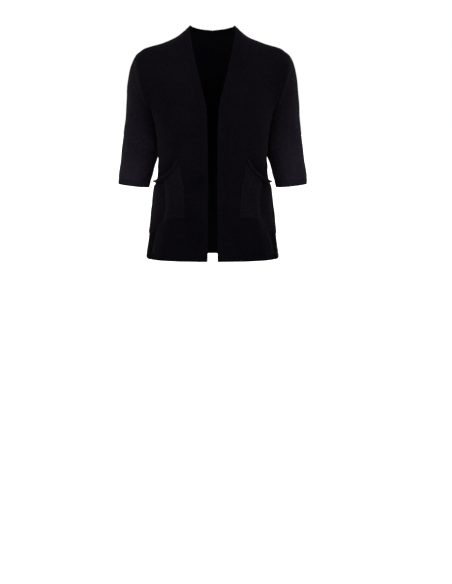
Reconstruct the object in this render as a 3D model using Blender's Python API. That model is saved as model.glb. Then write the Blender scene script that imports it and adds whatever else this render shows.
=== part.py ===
"""Open-front knitted cardigan with elbow-length sleeves and two slack patch pockets.

It keeps the hollow form that it has when it is worn. Metres, +Z up. The front faces -Y and
the wearer's left is at +X. The origin lies midway between the two side-neck points, where the
cloth rests on the shoulders. "drop" is always a distance below those points.

Every piece is a wall of cloth: a grid of points on the garment's form, with the normals of
neighbouring pieces shared along each seam, moved half a wall out and half a wall in.
"""
import math
from collections import namedtuple

import bmesh
import bpy
from mathutils import Vector

# ---------------------------------------------------------------- driving dimensions

WALL = 0.0016            # thickness of the knitted cloth
SEAM_GAP = 0.0003        # space between two pieces at a seam
LENGTH = 0.632           # side-neck point to the bottom edge, straight down
HEM_HEIGHT = 0.014       # ribbed strip at the bottom
SIDE_RISE = 0.004        # how much higher the bottom edge is at the side seams
BAND_WIDTH = 0.017       # band along the front edges and round the neck
BUST_DROP = 0.290        # where the front edges start to hang straight down
UNDERARM_DROP = 0.243
SQUARENESS = 2.4         # exponent of the body's rounded cross-section
SLEEVE_AIR = 0.0015      # space between a sleeve and the side of the body

# How strongly the cloth keeps its direction where it leaves an edge, in metres along a curve.
SHOULDER_ROUNDING = 0.18     # level, before it turns down the chest
NAPE_ROUNDING = 0.30         # the same behind the shoulder, beside the neck
SHOULDER_FALL = 0.06         # downwards, beside the neck
NAPE_LEVEL = 0.06            # level, in the middle of the nape
NAPE_FALL = 0.22             # downwards, in the middle of the nape
CHEST_DROP = 0.33            # straight down, where it reaches the bust
BLADE_DROP = 0.27            # the same at the shoulder blades
ARMHOLE_REACH = 3            # exponent that keeps an edge's own curve close to that edge
SIDE_REACH = 4               # the same for the slope of the cloth beside the armhole
CORNER_SPREAD = 0.5          # how far the back neck's corner is rounded off further down, as a share
SPREAD_STEPS = (-1, -0.75, -0.5, -0.25, 0, 0.25, 0.5, 0.75, 1)

POCKET_GAP = 0.0007          # pocket to panel; the two facet differently, so this stays above 0.3 mm
MOUTH_OPEN = 0.0095          # how far the slack mouth stands off the panel
MOUTH_REACH = 0.20           # share of the pocket's height over which it settles back
ROLL_RADIUS = 0.0026         # the mouth's edge rolls outwards
ROLL_TURN = 1.25 * math.pi   # the angle that it rolls through
ROLL_TAPER = 0.6             # share of the roll's radius lost by the time it reaches the side seam
NEARBY_TURN = 0.01           # steps to a neighbouring point, where a direction is measured
NEARBY_SHARE = 0.02

COLUMNS = 10             # grid columns from a front edge to the side seam
NECK_COLUMNS = 4         # grid columns from the middle of the nape to the shoulder seam
UPPER_ROWS = 11          # grid rows beside the armhole
LOWER_ROWS = 12          # grid rows from the underarm to the hem strip
SLEEVE_ROWS = 10
POCKET_COLUMNS = 10
POCKET_ROWS = 8
ROLL_ROWS = 5
COLUMN_CROWDING = 1.3    # above 1, columns stand closer where the side of the body curves most
SAME_PLACE = 0.00001     # points this close are one point of a seam
SHARP_ANGLE = math.radians(50)

# ---------------------------------------------------------------- tables of the form

# The body's cross-sections: half width, and how far they reach forwards and backwards.
Section = namedtuple("Section", "drop half_width front back")
BODY = (
    Section(0.243, 0.1635, 0.117, 0.098),
    Section(0.262, 0.1590, 0.119, 0.096),
    Section(0.283, 0.1555, 0.119, 0.093),
    Section(0.319, 0.1515, 0.117, 0.087),
    Section(0.350, 0.1490, 0.114, 0.083),
    Section(0.385, 0.1500, 0.111, 0.083),
    Section(0.420, 0.1538, 0.110, 0.087),
    Section(0.470, 0.1612, 0.112, 0.097),
    Section(0.545, 0.1724, 0.115, 0.106),
    Section(0.632, 0.1825, 0.118, 0.110),
)

# The band's free edge round the neck, from the nape to the bust, and the way from that edge to
# the seam where the panel starts.
NeckRow = namedtuple("NeckRow", "x y drop across")
NECK = (
    NeckRow(0.0000, 0.065, 0.0100, (0.00, 0.50, -0.87)),
    NeckRow(0.0320, 0.057, 0.0070, (0.30, 0.45, -0.82)),
    NeckRow(0.0540, 0.034, 0.0020, (0.58, 0.30, -0.75)),
    NeckRow(0.0610, 0.000, 0.0000, (0.73, 0.00, -0.68)),
    NeckRow(0.0605, -0.032, 0.0225, (0.90, -0.08, -0.30)),
    NeckRow(0.0530, -0.063, 0.0645, (0.97, 0.02, 0.05)),
    NeckRow(0.0427, -0.086, 0.1110, (0.97, 0.04, 0.18)),
    NeckRow(0.0290, -0.106, 0.1680, (0.97, 0.03, 0.20)),
    NeckRow(0.0172, -0.117, 0.2200, (0.99, 0.01, 0.10)),
)
SHOULDER_ROW = 3         # the row of NECK that lies on the shoulder seam

# The front edges below the bust.
EdgeRow = namedtuple("EdgeRow", "drop x")
FRONT_EDGE = (
    EdgeRow(0.290, 0.0135),
    EdgeRow(0.380, 0.0129),
    EdgeRow(0.480, 0.0129),
    EdgeRow(0.632, 0.0140),
)

# The shoulder seam, from the neck band to the sleeve.
ShoulderRow = namedtuple("ShoulderRow", "x drop")
SHOULDER = (
    ShoulderRow(0.0734, 0.0116),
    ShoulderRow(0.0940, 0.0270),
    ShoulderRow(0.1110, 0.0357),
    ShoulderRow(0.1390, 0.0467),
    ShoulderRow(0.1690, 0.0560),
    ShoulderRow(0.1860, 0.0620),
    ShoulderRow(0.1970, 0.0690),
)

# The sleeve's rings, from the armhole to the cuff: their outermost and innermost points, half
# depth, how far back their middle lies, and how far the ring bows out of a plain ellipse.
ArmRow = namedtuple("ArmRow", "along outer_x outer_drop inner_x inner_drop depth back bow")
ARM = (
    ArmRow(0.00, 0.1970, 0.0690, 0.1635, 0.2430, 0.058, 0.000, 0.008),
    ArmRow(0.08, 0.2100, 0.0795, 0.1655, 0.2478, 0.060, 0.008, 0.007),
    ArmRow(0.16, 0.2202, 0.0985, 0.1615, 0.2590, 0.060, 0.017, 0.005),
    ArmRow(0.27, 0.2290, 0.1300, 0.1570, 0.2800, 0.060, 0.022, 0.003),
    ArmRow(0.38, 0.2342, 0.1700, 0.1530, 0.3035, 0.059, 0.024, 0.001),
    ArmRow(0.50, 0.2380, 0.2220, 0.1490, 0.3270, 0.058, 0.025, 0.000),
    ArmRow(0.62, 0.2426, 0.2720, 0.1495, 0.3475, 0.056, 0.025, 0.000),
    ArmRow(0.74, 0.2483, 0.3180, 0.1585, 0.3760, 0.054, 0.024, 0.000),
    ArmRow(0.87, 0.2550, 0.3680, 0.1650, 0.4010, 0.052, 0.023, 0.000),
    ArmRow(1.00, 0.2610, 0.4130, 0.1720, 0.4215, 0.050, 0.022, 0.000),
    ArmRow(1.04, 0.2612, 0.4290, 0.1762, 0.4385, 0.050, 0.022, 0.000),
)
SLEEVE_END = 1.00        # where the cuff's seam lies along the arm
CUFF_END = 1.04

# A pocket's mouth and bottom edge. across is a share of the front panel's width, from the band
# to the side seam.
PocketRow = namedtuple("PocketRow", "across drop")
MOUTH = (
    PocketRow(0.317, 0.3560),
    PocketRow(0.354, 0.3690),
    PocketRow(0.402, 0.3830),
    PocketRow(0.462, 0.3950),
    PocketRow(0.552, 0.4060),
    PocketRow(0.695, 0.4160),
    PocketRow(0.814, 0.4195),
    PocketRow(1.000, 0.4210),
)
BOTTOM = (
    PocketRow(0.172, 0.5140),
    PocketRow(0.324, 0.5155),
    PocketRow(0.430, 0.5200),
    PocketRow(0.512, 0.5350),
    PocketRow(0.607, 0.5490),
    PocketRow(0.800, 0.5600),
    PocketRow(1.000, 0.5650),
)
# Its inner edge, from the mouth (0) down to the bottom (1).
InnerRow = namedtuple("InnerRow", "down across")
INNER_EDGE = (
    InnerRow(0.00, 0.317),
    InnerRow(0.28, 0.264),
    InnerRow(0.48, 0.218),
    InnerRow(0.72, 0.195),
    InnerRow(1.00, 0.172),
)

# ---------------------------------------------------------------- curves


def mix(start, end, share):
    return start * (1 - share) + end * share


def bend(start, end, leave, arrive, share):
    """A cubic from start to end that leaves and arrives with the given slopes."""
    square, cube = share ** 2, share ** 3
    ends = start * (2 * cube - 3 * square + 1) + end * (3 * square - 2 * cube)
    return ends + leave * (cube - 2 * square + share) + arrive * (cube - square)


def through(keys, values, at):
    """The smooth curve through values that stand at rising keys."""
    last = len(keys) - 1
    at = min(max(at, keys[0]), keys[last])
    index = max(i for i in range(last) if keys[i] <= at or i == 0)
    step = keys[index + 1] - keys[index]

    def slope(i):
        low, high = max(i - 1, 0), min(i + 1, last)
        return (values[high] - values[low]) * (step / (keys[high] - keys[low]))

    share = (at - keys[index]) / step
    return bend(values[index], values[index + 1], slope(index), slope(index + 1), share)


def column(table, key, name, at):
    """A table's column, read on a smooth curve through its rows."""
    keys = [getattr(row, key) for row in table]
    return through(keys, [getattr(row, name) for row in table], at)


# ---------------------------------------------------------------- the body


def body_point(turn, drop, face):
    """A point of the body. turn runs from 0 in the middle to a quarter circle at the side seam,
    and face is -1 on the front and +1 on the back."""
    reach = column(BODY, "drop", "front" if face < 0 else "back", drop)
    half_width = column(BODY, "drop", "half_width", drop)
    power = 2 / SQUARENESS
    return Vector((half_width * math.sin(turn) ** power,
                   face * reach * max(math.cos(turn), 0) ** power, -drop))


def turn_at(x, drop):
    """The turn at which the body reaches x."""
    share = min(x / column(BODY, "drop", "half_width", drop), 1)
    return math.asin(share ** (SQUARENESS / 2))


def body_side(y, drop):
    """The body's half width at a depth y."""
    reach = column(BODY, "drop", "front" if y < 0 else "back", drop)
    share = min(abs(y) / reach, 1)
    return column(BODY, "drop", "half_width", drop) * (1 - share ** SQUARENESS) ** (1 / SQUARENESS)


def front_edge(drop, width):
    """A point of the straight front edge, or of the seam at the band's width from it."""
    x = column(FRONT_EDGE, "drop", "x", drop) + width
    return body_point(turn_at(x, drop), drop, -1)


def neck_curves():
    """The neck's stations along the edge, the edge itself, and the seam beside it."""
    edge = [Vector((row.x, row.y, -row.drop)) for row in NECK]
    seam = [point + BAND_WIDTH * Vector(row.across).normalized() for point, row in zip(edge, NECK)]
    edge.append(front_edge(BUST_DROP, 0))
    seam.append(front_edge(BUST_DROP, BAND_WIDTH))
    along = [0.0]
    for before, after in zip(edge, edge[1:]):
        along.append(along[-1] + (after - before).length)
    return along, edge, seam


NECK_ALONG, NECK_EDGE, NECK_SEAM = neck_curves()
AT_SHOULDER = NECK_ALONG[SHOULDER_ROW]
AT_BUST = NECK_ALONG[-1]


def arm_point(along, angle):
    """A point of the sleeve. angle 0 is its outermost line, and it turns to the front first."""
    outer = Vector((column(ARM, "along", "outer_x", along), 0,
                    -column(ARM, "along", "outer_drop", along)))
    inner = Vector((column(ARM, "along", "inner_x", along), 0,
                    -column(ARM, "along", "inner_drop", along)))
    across = (outer - inner) / 2
    outwards = Vector((across.z, 0, -across.x)).normalized()
    point = (outer + inner) / 2 + across * math.cos(angle)
    point += outwards * column(ARM, "along", "bow", along) * math.sin(angle) ** 2
    point.y = column(ARM, "along", "back", along)
    point.y -= column(ARM, "along", "depth", along) * math.sin(angle)
    if -point.z > UNDERARM_DROP and along > 0:
        point.x = max(point.x, body_side(point.y, -point.z) + WALL + SLEEVE_AIR)
    return point


def shoulder_point(share):
    """A point of the shoulder seam, from the neck band to the sleeve."""
    x = mix(SHOULDER[0].x, SHOULDER[-1].x, share)
    point = Vector((x, 0, -column(SHOULDER, "x", "drop", x)))
    return mix(NECK_SEAM[SHOULDER_ROW], point, min(share * COLUMNS, 1))


def level(across, start_drop, share):
    """The drop of a row that starts level with the bust at the front edge or the middle of the
    back, and with the underarm at the side seam."""
    return mix(mix(start_drop, UNDERARM_DROP, across), LENGTH - HEM_HEIGHT, share)


def yoke(top, leave, bottom, arrive, across, down, face):
    """A point between the shoulder and the bust line, pulled onto the armhole near the side."""
    turned = Vector((0, -face * SHOULDER_ROUNDING, 0))
    arrive = mix(arrive, turned, across ** SIDE_REACH)
    point = bend(top, bottom, leave, arrive, down)
    corner_top, corner_bottom = arm_point(0, 0), arm_point(0, math.pi)
    plain = bend(corner_top, corner_bottom, -turned, turned, down)
    armhole = arm_point(0, -face * math.pi * down)
    return point + (armhole - plain) * across ** ARMHOLE_REACH


def front_point(across, down):
    """A point of the front panel. across runs from the band to the side, and down from the
    shoulder (0) past the bust line (1) to the hem strip (2)."""
    if down >= 1:
        drop = level(across, BUST_DROP, down - 1)
        edge = front_edge(drop, BAND_WIDTH)
        return body_point(mix(turn_at(edge.x, drop), math.pi / 2, across), drop, -1)
    leave_neck = Vector((0, -SHOULDER_ROUNDING, -SHOULDER_FALL))
    leave = mix(leave_neck, Vector((0, -SHOULDER_ROUNDING, 0)), across)
    arrive = Vector((0, 0, -CHEST_DROP))
    point = yoke(shoulder_point(across), leave, front_point(across, 1), arrive, across, down, -1)
    plain = bend(shoulder_point(0), front_point(0, 1), leave_neck, arrive, down)
    seam = through(NECK_ALONG, NECK_SEAM, mix(AT_SHOULDER, AT_BUST, down))
    return point + (seam - plain) * (1 - across) ** ARMHOLE_REACH


def back_top(across):
    """A point of the back's top edge, and the slope with which the cloth leaves it."""
    leave_neck = Vector((0, NAPE_ROUNDING, -SHOULDER_FALL))
    if across > 0:
        return shoulder_point(across), mix(leave_neck, Vector((0, SHOULDER_ROUNDING, 0)), across)
    top = through(NECK_ALONG, NECK_SEAM, AT_SHOULDER * (1 + across))
    return top, mix(Vector((0, NAPE_LEVEL, -NAPE_FALL)), leave_neck, (1 + across) ** 2)


def back_point(across, down):
    """A point of the back panel's half. across runs from the middle (-1) past the side of the
    neck (0) to the side seam (1), and down as on the front."""
    beside = max(across, 0)
    neck_turn = turn_at(NECK_SEAM[SHOULDER_ROW].x, BUST_DROP)
    if down >= 1:
        turn = mix(neck_turn, math.pi / 2, across) if across > 0 else neck_turn * (1 + across)
        return body_point(turn, level(beside, BUST_DROP, down - 1), 1)
    spread = CORNER_SPREAD * (1 - (1 - down) ** 3) * (1 - abs(across))
    nearby = [back_top(across + spread * step) for step in SPREAD_STEPS]
    top = sum((point for point, _ in nearby), Vector()) / len(nearby)
    leave = sum((slope for _, slope in nearby), Vector()) / len(nearby)
    arrive = Vector((0, 0, -BLADE_DROP))
    return yoke(top, leave, back_point(across, 1), arrive, beside, down, 1)


# ---------------------------------------------------------------- grids, one for each piece


def shares(count, crowding=1.0):
    return [1 - (1 - i / count) ** crowding for i in range(count + 1)]


ACROSS = shares(COLUMNS, COLUMN_CROWDING)
DOWN = shares(UPPER_ROWS) + [1 + share for share in shares(LOWER_ROWS)[1:]]


def mirrored(grid):
    return [[Vector((-point.x, point.y, point.z)) for point in row] for row in grid]


def both_halves(grid):
    """A half grid that starts in the middle, and its mirror image, as one grid."""
    return [[Vector((-p.x, p.y, p.z)) for p in reversed(row[1:])] + row for row in grid]


def front_grid():
    return [[front_point(across, down) for across in ACROSS] for down in DOWN]


def back_grid():
    columns = [share - 1 for share in shares(NECK_COLUMNS)] + ACROSS[1:]
    return both_halves([[back_point(across, down) for across in columns] for down in DOWN])


def arm_grid(start, end, rows):
    """Closed rings of the sleeve, whose first point is repeated as the last."""
    angles = [math.pi * i / UPPER_ROWS for i in range(2 * UPPER_ROWS + 1)]
    return [[arm_point(mix(start, end, share), angle) for angle in angles]
            for share in shares(rows)]


def hem_grid(panel, face):
    """The strip below a panel: its last row, carried down to the bottom edge."""
    low = []
    for point in panel[-1]:
        turn = turn_at(abs(point.x), LENGTH - HEM_HEIGHT)
        x_sign = -1 if point.x < 0 else 1
        rise = SIDE_RISE * (2 * turn / math.pi) ** 6
        bottom = body_point(turn, LENGTH - rise, face)
        low.append(Vector((x_sign * bottom.x, bottom.y, bottom.z)))
    return [panel[-1], low]


def band_grid(hem_front):
    """Stations up one front edge and round to the nape, where the two halves of the band are
    joined: free edge, middle and seam."""
    drops = [LENGTH] + [level(0, BUST_DROP, down - 1) for down in reversed(DOWN) if down >= 1]
    edges = [front_edge(drop, 0) for drop in drops]
    seams = [hem_front[1][0]] + [front_edge(drop, BAND_WIDTH) for drop in drops[1:]]
    alongs = [mix(AT_SHOULDER, AT_BUST, down) for down in reversed(DOWN) if down < 1]
    alongs += [AT_SHOULDER * (1 - share) for share in shares(NECK_COLUMNS)[1:]]
    edges += [through(NECK_ALONG, NECK_EDGE, along) for along in alongs]
    seams += [through(NECK_ALONG, NECK_SEAM, along) for along in alongs]
    return [[edge, (edge + seam) / 2, seam] for edge, seam in zip(edges, seams)]


def pocket_place(share, down):
    """Where a point of the pocket lies on the body, as its turn and its drop. share runs from
    the pocket's inner edge to the side seam."""
    across = mix(column(INNER_EDGE, "down", "across", down), 1, share)
    drop = mix(column(MOUTH, "across", "drop", across), column(BOTTOM, "across", "drop", across), down)
    return mix(turn_at(front_edge(drop, BAND_WIDTH).x, drop), math.pi / 2, across), drop


def outwards(turn, drop):
    """The horizontal way out of the front of the body."""
    before = body_point(turn - NEARBY_TURN, drop, -1)
    along = body_point(min(turn + NEARBY_TURN, math.pi / 2), drop, -1) - before
    return Vector((along.y, -along.x, 0)).normalized()


def pocket_point(share, down):
    """A point of the pocket, just outside the panel and slack at the mouth."""
    turn, drop = pocket_place(share, down)
    slack = MOUTH_OPEN * math.sin(math.pi * share) * math.exp(-down / MOUTH_REACH)
    return body_point(turn, drop, -1) + outwards(turn, drop) * (WALL + POCKET_GAP + slack)


def pocket_grid():
    """The rolled edge of the mouth, then the pocket down to its bottom seam."""
    grid = []
    for row in range(ROLL_ROWS, 0, -1):
        angle = ROLL_TURN * row / ROLL_ROWS
        points = []
        for share in shares(POCKET_COLUMNS, COLUMN_CROWDING):
            start = pocket_point(share, 0)
            out = outwards(*pocket_place(share, 0))
            before, after = max(share - NEARBY_SHARE, 0), min(share + NEARBY_SHARE, 1)
            up = out.cross(pocket_point(after, 0) - pocket_point(before, 0)).normalized()
            radius = ROLL_RADIUS * (1 - ROLL_TAPER * share ** 2)
            points.append(start + radius * (out * (1 - math.cos(angle)) + up * math.sin(angle)))
        grid.append(points)
    for down in shares(POCKET_ROWS):
        grid.append([pocket_point(share, down) for share in shares(POCKET_COLUMNS, COLUMN_CROWDING)])
    return grid


# ---------------------------------------------------------------- from grids to walls


def key(point):
    """The same numbers for points at the same place."""
    return tuple(round(value / SAME_PLACE) for value in point)


def face_normal(grid, row, col):
    """The normal of the grid's cell below and right of a point."""
    a, b = grid[row][col], grid[row][col + 1]
    c, d = grid[row + 1][col + 1], grid[row + 1][col]
    return (c - a).cross(d - b)


def shared_normals(pieces):
    """Point normals, added up over the cells that meet in a point, in whichever piece. The body
    and each arm count once, so that where a sleeve folds back beside the body the walls of both
    keep clear of each other."""
    groups = {}
    for name, (grid, sign) in pieces.items():
        group = groups.setdefault(name if name.startswith(("sleeve", "cuff")) else "body", {})
        for row in range(len(grid) - 1):
            for col in range(len(grid[0]) - 1):
                normal = face_normal(grid, row, col) * sign
                for i, j in ((row, col), (row, col + 1), (row + 1, col + 1), (row + 1, col)):
                    place = key(grid[i][j])
                    group[place] = group.get(place, Vector((0, 0, 0))) + normal
    totals = {}
    for group in groups.values():
        for place, total in group.items():
            totals[place] = totals.get(place, Vector((0, 0, 0))) + total.normalized()
    return {place: total.normalized() for place, total in totals.items()}


def seam_places(pieces):
    """The points that two pieces share."""
    seen, shared = {}, set()
    for name, (grid, _) in pieces.items():
        for place in {key(point) for row in grid for point in row}:
            if place in seen:
                shared.add(place)
            seen[place] = name
    return shared


def trimmed(grid, seams):
    """The grid with every seam edge moved back into its own piece by half the seam gap."""
    rows, cols = len(grid), len(grid[0])
    result = [[point.copy() for point in row] for row in grid]
    for row in range(rows):
        for col in range(cols):
            if key(grid[row][col]) not in seams:
                continue
            if row in (0, rows - 1):
                beside = [c for c in (col - 1, col + 1) if 0 <= c < cols]
                if any(key(grid[row][c]) in seams for c in beside):
                    inner = grid[1 if row == 0 else rows - 2][col]
                    result[row][col] += (inner - grid[row][col]).normalized() * SEAM_GAP / 2
            if col in (0, cols - 1):
                beside = [r for r in (row - 1, row + 1) if 0 <= r < rows]
                if any(key(grid[r][col]) in seams for r in beside):
                    inner = grid[row][1 if col == 0 else cols - 2]
                    result[row][col] += (inner - grid[row][col]).normalized() * SEAM_GAP / 2
    return result


def trimmed_rings(grid, seams):
    """Closed rings with the seam rings at their ends moved back by half the seam gap."""
    result = [[point.copy() for point in row] for row in grid]
    for row, inner in ((0, 1), (len(grid) - 1, len(grid) - 2)):
        if key(grid[row][0]) in seams:
            for col, point in enumerate(grid[row]):
                result[row][col] += (grid[inner][col] - point).normalized() * SEAM_GAP / 2
    return result


def wall(name, grid, normals, seams, material, parent):
    """One closed solid: the grid moved half a wall out and half a wall in, and its rims."""
    closed = key(grid[0][0]) == key(grid[0][-1])
    place = trimmed_rings(grid, seams) if closed else trimmed(grid, seams)
    mesh = bmesh.new()
    cols = len(grid[0]) - 1 if closed else len(grid[0])
    skins = []
    for side in (0.5, -0.5):
        skins.append([[mesh.verts.new(place[row][col] + normals[key(grid[row][col])] * WALL * side)
                       for col in range(cols)] for row in range(len(grid))])
    outer, inner = skins
    steps = cols if closed else cols - 1
    for row in range(len(grid) - 1):
        for col in range(steps):
            right = (col + 1) % cols
            for skin in skins:
                a, b = skin[row][col], skin[row][right]
                c, d = skin[row + 1][right], skin[row + 1][col]
                mesh.faces.new((a, b, c))
                mesh.faces.new((a, c, d))
    for row in (0, len(grid) - 1):
        for col in range(steps):
            right = (col + 1) % cols
            mesh.faces.new((outer[row][col], outer[row][right], inner[row][right], inner[row][col]))
    if not closed:
        for col in (0, cols - 1):
            for row in range(len(grid) - 1):
                mesh.faces.new((outer[row][col], outer[row + 1][col],
                                inner[row + 1][col], inner[row][col]))
    bmesh.ops.recalc_face_normals(mesh, faces=mesh.faces)
    data = bpy.data.meshes.new(name)
    mesh.to_mesh(data)
    mesh.free()
    data.shade_smooth()
    data.set_sharp_from_angle(angle=SHARP_ANGLE)
    data.materials.append(material)
    solid = bpy.data.objects.new(name, data)
    solid.parent = parent
    bpy.context.scene.collection.objects.link(solid)


# ---------------------------------------------------------------- materials and assembly


def knit_material(name, color, roughness):
    material = bpy.data.materials.new(name)
    material.use_nodes = True
    shader = material.node_tree.nodes["Principled BSDF"]
    shader.inputs["Base Color"].default_value = (*color, 1)
    shader.inputs["Roughness"].default_value = roughness
    shader.inputs["Metallic"].default_value = 0
    return material


def main():
    for item in list(bpy.data.objects):
        bpy.data.objects.remove(item, do_unlink=True)
    body_knit = knit_material("knit", (0.0075, 0.0068, 0.0092), 0.9)
    rib_knit = knit_material("rib", (0.0060, 0.0055, 0.0078), 0.9)
    garment = bpy.data.objects.new("cardigan", None)
    bpy.context.scene.collection.objects.link(garment)

    front = front_grid()
    back = back_grid()
    hem_front = hem_grid(front, -1)
    band = band_grid(hem_front)
    sleeve = arm_grid(0, SLEEVE_END, SLEEVE_ROWS)
    cuff = arm_grid(SLEEVE_END, CUFF_END, 1)
    # Each grid comes with the sign that turns its cells' normals outwards.
    pieces = {
        "front_left": (front, -1),
        "front_right": (mirrored(front), 1),
        "back": (back, 1),
        "hem_front_left": (hem_front, -1),
        "hem_front_right": (mirrored(hem_front), 1),
        "hem_back": (hem_grid(back, 1), 1),
        "band_left": (band, 1),
        "band_right": (mirrored(band), -1),
        "sleeve_left": (sleeve, 1),
        "sleeve_right": (mirrored(sleeve), -1),
        "cuff_left": (cuff, 1),
        "cuff_right": (mirrored(cuff), -1),
    }
    normals = shared_normals(pieces)
    seams = seam_places(pieces)
    for name, (grid, _) in pieces.items():
        ribbed = name.startswith(("hem", "cuff", "band"))
        wall(name, grid, normals, seams, rib_knit if ribbed else body_knit, garment)

    pocket = pocket_grid()
    for name, grid, sign in (("pocket_left", pocket, -1), ("pocket_right", mirrored(pocket), 1)):
        wall(name, grid, shared_normals({name: (grid, sign)}), set(), body_knit, garment)


main()
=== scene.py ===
"""The looks of an open-front knitted cardigan, in the hollow form that it has when it is worn.

Metres, +Z up. The front faces -Y and the wearer's left is at +X. "drop" is a distance below the
two side-neck points. Each piece is a thin closed shell on its solid's form: a fine grid of points,
with the creases laid on as soft ridges and troughs, moved half a wall out and half a wall in.
"""
import math
from collections import namedtuple

import bpy
import numpy as np
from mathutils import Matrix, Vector
from mathutils.kdtree import KDTree


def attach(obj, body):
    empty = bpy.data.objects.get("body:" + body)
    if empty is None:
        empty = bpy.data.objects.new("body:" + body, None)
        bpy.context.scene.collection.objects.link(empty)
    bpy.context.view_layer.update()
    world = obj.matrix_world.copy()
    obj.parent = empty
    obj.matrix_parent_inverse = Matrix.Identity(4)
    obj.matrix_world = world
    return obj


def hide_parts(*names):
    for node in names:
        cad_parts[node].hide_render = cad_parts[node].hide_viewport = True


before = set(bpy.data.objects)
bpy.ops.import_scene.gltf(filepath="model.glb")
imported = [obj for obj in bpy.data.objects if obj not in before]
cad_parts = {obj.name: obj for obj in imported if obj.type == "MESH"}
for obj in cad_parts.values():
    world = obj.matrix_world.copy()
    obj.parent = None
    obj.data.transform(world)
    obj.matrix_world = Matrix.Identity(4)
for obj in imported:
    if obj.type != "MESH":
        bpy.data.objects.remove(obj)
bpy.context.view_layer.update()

# ---------------------------------------------------------------- the garment's sizes

WALL = 0.0016            # thickness of the knitted cloth
SEAM_GAP = 0.00006       # space left between two pieces at a seam
SEAM_TONGUE = 0.00025    # one rim stands out by this in the middle of its wall, the other sinks in
LENGTH = 0.632           # side-neck point to the bottom edge, straight down
HEM_HEIGHT = 0.014       # ribbed strip at the bottom
SIDE_RISE = 0.004        # how much higher the bottom edge is at the side seams
BAND_WIDTH = 0.017       # band along the front edges and round the neck
BUST_DROP = 0.290        # where the front edges start to hang straight down
UNDERARM_DROP = 0.243
SQUARENESS = 2.4         # exponent of the body's rounded cross-section
SLEEVE_AIR = 0.0015      # from a sleeve to the side of the body, before creases are laid on
RISE_REACH = 6           # exponent that keeps the rise of the bottom edge close to the side seam
NECK_MERGE = 10          # the shoulder seam leaves the band's corner over one part in this many

# How strongly the cloth keeps its direction where it leaves an edge, in metres along a curve.
SHOULDER_ROUNDING = 0.18     # level, before it turns down the chest
NAPE_ROUNDING = 0.30         # the same behind the shoulder, beside the neck
SHOULDER_FALL = 0.06         # downwards, beside the neck
NAPE_LEVEL = 0.06            # level, in the middle of the nape
NAPE_FALL = 0.22             # downwards, in the middle of the nape
CHEST_DROP = 0.33            # straight down, where it reaches the bust
BLADE_DROP = 0.27            # the same at the shoulder blades
ARMHOLE_REACH = 3            # exponent that keeps an edge's own curve close to that edge
SIDE_REACH = 4               # the same for the slope of the cloth beside the armhole
CORNER_SPREAD = 0.5          # how far the back neck's corner is rounded off further down, as a share
SPREAD_STEPS = (-1, -0.75, -0.5, -0.25, 0, 0.25, 0.5, 0.75, 1)

POCKET_GAP = 0.0004          # pocket to panel
MOUTH_OPEN = 0.0095          # how far the slack mouth stands off the panel
MOUTH_REACH = 0.20           # share of the pocket's height over which it settles back
BAG_DEPTH = 0.0045           # how far the middle of the slack pocket stands off
UNDERCUT = 0.0074            # how deep the pocket sinks in under the rolled mouth
UNDERCUT_AT = 0.045          # where, and over how much, as shares of the pocket's height
UNDERCUT_REACH = 0.026
SEWN_THICKNESS = 0.0007      # the pocket's cloth, pressed thin where it is sewn down
SEWN_REACH = 0.006           # how far from its sewn edges it is full again
POCKET_SIZE = (0.15, 0.15)   # about how wide and high the pocket is
ROLL_RADIUS = 0.0028         # the mouth's edge rolls outwards
ROLL_TURN = 1.4 * math.pi    # the angle that it rolls through
ROLL_TAPER = 0.42            # share of the roll's radius lost by the time it reaches the side seam
ROLL_START = 0.16            # its radius at the pocket's inner corner, as a share
ROLL_RISE = 0.30             # share of the pocket's width over which it grows to its full radius
NEARBY_TURN = 0.01           # steps to a neighbouring point, where a direction is measured
NEARBY_SHARE = 0.02

# ---------------------------------------------------------------- fineness of the shells

COLUMNS = 84             # from a front edge to the side seam
NECK_COLUMNS = 16        # from the middle of the nape to the shoulder seam
UPPER_ROWS = 96          # beside the armhole
LOWER_ROWS = 120         # from the underarm to the hem strip
SLEEVE_ROWS = 116
COLUMN_CROWDING = 1.3    # columns are closer beside the side seam
SAME_PLACE = 0.00001     # points this close are one point of a seam
SEAM_STEPS = (0.2, 0.5)  # extra points beside a seam, as shares of the first step
PATH_STEPS = 24          # steps along a crease's path
RIM_ANGLES = [math.pi * share for share in (0.25, 0.5, 0.75)]

SEAM_DIP = 0.0006        # depth of the groove along a seam
SEAM_REACH = 0.0016      # half width of the groove
RIB_ROUNDNESS = 0.6      # below 1, ribs are broad and the valleys between them narrow
RIB_MIDDLE = 0.7         # about the ribs' mean height, as a share
RIB_FADE = 0.0025        # how far from a seam the ribs are whole
HOLLOW_REACH = 0.009     # half width of the sleeve's hollow along the armhole
FOLD_REACH = 0.0024      # half width of the sharp fold at its bottom
PANEL_REACH = 0.0032     # the same on the panel, which stays flat as far as the fold
ROW_CROWDING = 1.25      # a sleeve's rows are closer beside the armhole
SIDE_HOLD = 0.012        # how far from a side seam the creases are whole
PANEL_SCALE = (0.21, 1)  # a panel's places, turned into metres
ARM_SCALE = (0.054, 0.36)    # a sleeve's places, turned into metres

HEM_COLUMNS = 390
HEM_ROWS = 8
CUFF_COLUMNS = 760
CUFF_ROWS = 8
BAND_COLUMNS = 42
BAND_STEP = 0.003
BAND_RIBS = 3
RIB_PITCH = 0.0042
RIB_DEPTH = 0.0010
POCKET_COLUMNS = 64
POCKET_ROWS = 72
ROLL_ROWS = 14
MOUTH_CROWDING = 1.5     # the pocket's rows are closer below its mouth
# How much stronger or weaker each side's creases are, in turn.
SIDES = {"left": (1.0, 0.9, 1.05, 1.1), "right": (1.05, 1.0, 0.9, 1.0, 1.1)}
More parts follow.
